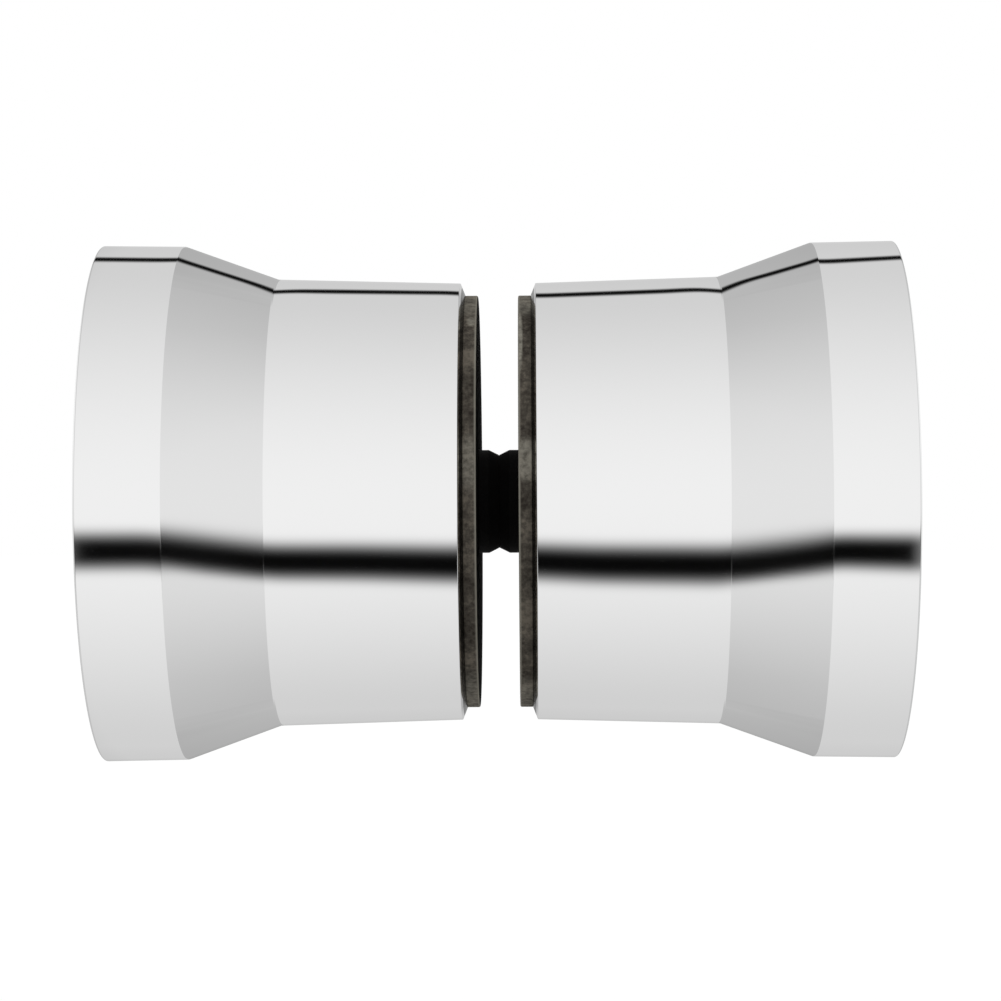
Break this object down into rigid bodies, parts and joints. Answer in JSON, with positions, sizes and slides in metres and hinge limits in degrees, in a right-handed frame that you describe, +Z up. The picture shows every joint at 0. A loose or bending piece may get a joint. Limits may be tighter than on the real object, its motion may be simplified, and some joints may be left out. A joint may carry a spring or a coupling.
{
  "type": "shower door handle",
  "caption": "Back-to-back shower door knob: chromed knobs that widen from barrel through cone to ring, with gaskets, sleeves and a hidden stud between.",
  "frame": {"origin": "on the knobs' common axis, in the middle of the glass gap, which is the centre of the bounding box", "axes": "+X along the common axis towards the right knob, square to the glass; +Z up the door; +Y away from the viewer, along the glass"},
  "size_m": [0.0608, 0.04, 0.04],
  "materials": {
    "chrome": "bright chrome plating on a polished zinc casting",
    "rubber": "matt grey-brown rubber sheet with a cut edge",
    "nylon": "black moulded nylon, as moulded",
    "steel": "zinc-plated steel with a rolled thread"
  },
  "bodies": {
    "root": {"left_knob": "chrome", "right_knob": "chrome", "left_gasket": "rubber", "right_gasket": "rubber", "left_sleeve": "nylon", "right_sleeve": "nylon", "threaded_stud": "steel"}
  },
  "joints": []
}
